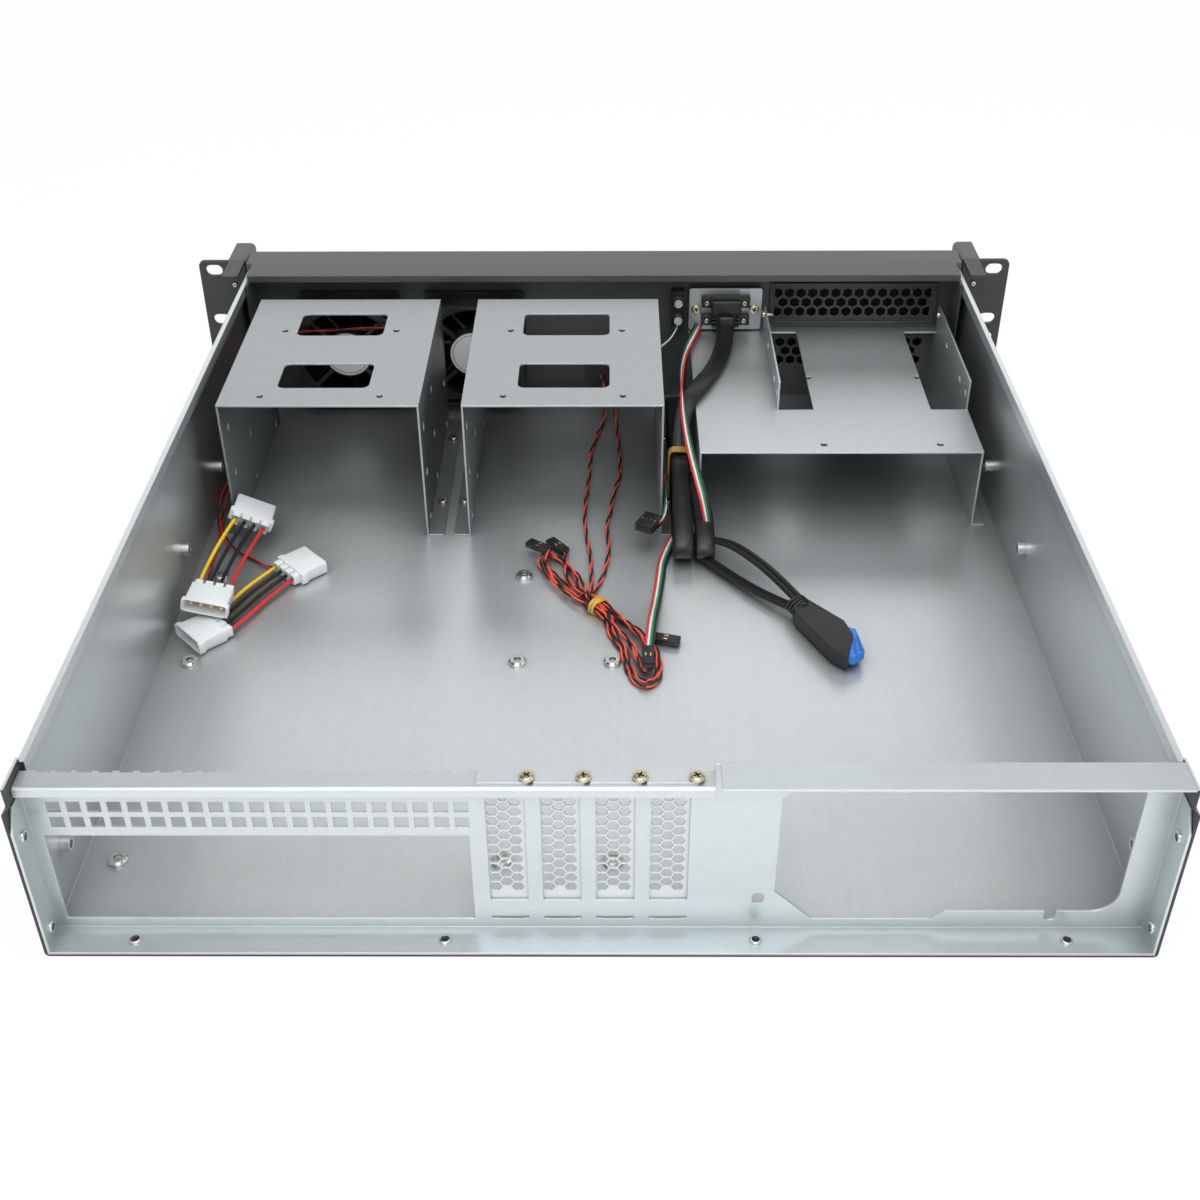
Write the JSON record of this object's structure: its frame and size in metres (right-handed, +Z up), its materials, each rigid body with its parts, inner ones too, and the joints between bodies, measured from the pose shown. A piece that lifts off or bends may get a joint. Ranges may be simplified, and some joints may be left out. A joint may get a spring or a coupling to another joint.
{
  "type": "empty rackmount server case",
  "caption": "Open rackmount server case of folded sheet with drive cages, cooling fans, slot covers, rack ears, handles and its own leads.",
  "frame": {"origin": "middle of the underside, under the middle of the case's width and of its depth with the handles", "axes": "+Z up, +Y towards the rear panel, +X to the side of the connector opening"},
  "size_m": [0.4826, 0.489, 0.088],
  "materials": {
    "band": "yellow rubber band",
    "black_paint": "satin charcoal coat",
    "black_sheet": "satin black powder coat",
    "blue_plastic": "blue moulded insert",
    "clear_plastic": "clear moulded rods",
    "fan_plastic": "black moulded plastic",
    "fastener": "bare rivet heads",
    "gold_screw": "yellow passivated steel screws",
    "ribbon": "four-colour ribbon",
    "slot_zinc": "zinc-coated sheet, satin",
    "white_nylon": "natural white nylon",
    "wire_black": "black insulation",
    "wire_red": "red and black insulated wire",
    "wire_yellow": "insulated wire",
    "zinc_sheet": "plain zinc-coated sheet, satin with faint rolling streaks"
  },
  "bodies": {
    "case": {"base_tray": "zinc_sheet", "bay_bracket": "zinc_sheet", "bay_grille": "black_sheet", "case_screws": "gold_screw", "clinch_nuts": "zinc_sheet", "drive_cage_left": "zinc_sheet", "drive_cage_right": "zinc_sheet", "fan_frame_left": "fan_plastic", "fan_frame_right": "fan_plastic", "fan_lead_1": "wire_red", "fan_lead_2": "wire_red", "front_bezel": "black_paint", "front_panel": "black_sheet", "handle_left": "black_paint", "handle_right": "black_paint", "header_lead": "wire_black", "lamp_holder": "fan_plastic", "lamp_lead": "wire_black", "lead_hank": "wire_red", "light_guides": "clear_plastic", "link_wire_1": "wire_yellow", "link_wire_2": "wire_black", "link_wire_3": "wire_black", "link_wire_4": "wire_red", "link_wire_5": "wire_yellow", "link_wire_6": "wire_black", "link_wire_7": "wire_black", "link_wire_8": "wire_red", "panel_lead_1": "wire_red", "panel_lead_2": "wire_red", "pin_connectors": "fan_plastic", "port_cable": "wire_black", "port_cable_fold": "wire_black", "port_housing": "fan_plastic", "port_lead_1": "wire_black", "port_lead_2": "wire_black", "port_plate": "zinc_sheet", "port_plug": "blue_plastic", "port_plug_boot": "fan_plastic", "power_plug_1": "white_nylon", "power_plug_2": "white_nylon", "power_plug_3": "white_nylon", "power_plug_4": "white_nylon", "rack_ear_left": "black_sheet", "rack_ear_right": "black_sheet", "rear_panel": "zinc_sheet", "rear_rivets": "fastener", "ribbon_lower": "ribbon", "ribbon_upper": "ribbon", "rubber_bands": "band", "slot_cover_1": "slot_zinc", "slot_cover_2": "slot_zinc", "slot_cover_3": "slot_zinc", "slot_cover_4": "slot_zinc", "small_screws": "gold_screw", "switch_block": "fan_plastic"},
    "fan_left": {"fan_rotor_left": "fan_plastic"},
    "fan_right": {"fan_rotor_right": "fan_plastic"},
    "power_key": {"power_button": "fan_plastic"},
    "reset_key": {"reset_button": "fan_plastic"}
  },
  "joints": [
    {"name": "fan_left_spin", "type": "hinge", "parent": "case", "child": "fan_left", "pos_m": [0.1525, -0.195, 0.0415], "axis": [0, 1, 0], "continuous": true},
    {"name": "fan_right_spin", "type": "hinge", "parent": "case", "child": "fan_right", "pos_m": [0.0775, -0.195, 0.0415], "axis": [0, 1, 0], "continuous": true},
    {"name": "power_press", "type": "slide", "parent": "case", "child": "power_key", "axis": [0, 1, 0], "range_m": [0, 0.0015], "stiffness_N_per_m": 300, "springref_m": -0.002},
    {"name": "reset_press", "type": "slide", "parent": "case", "child": "reset_key", "axis": [0, 1, 0], "range_m": [0, 0.0015], "stiffness_N_per_m": 300, "springref_m": -0.002}
  ]
}
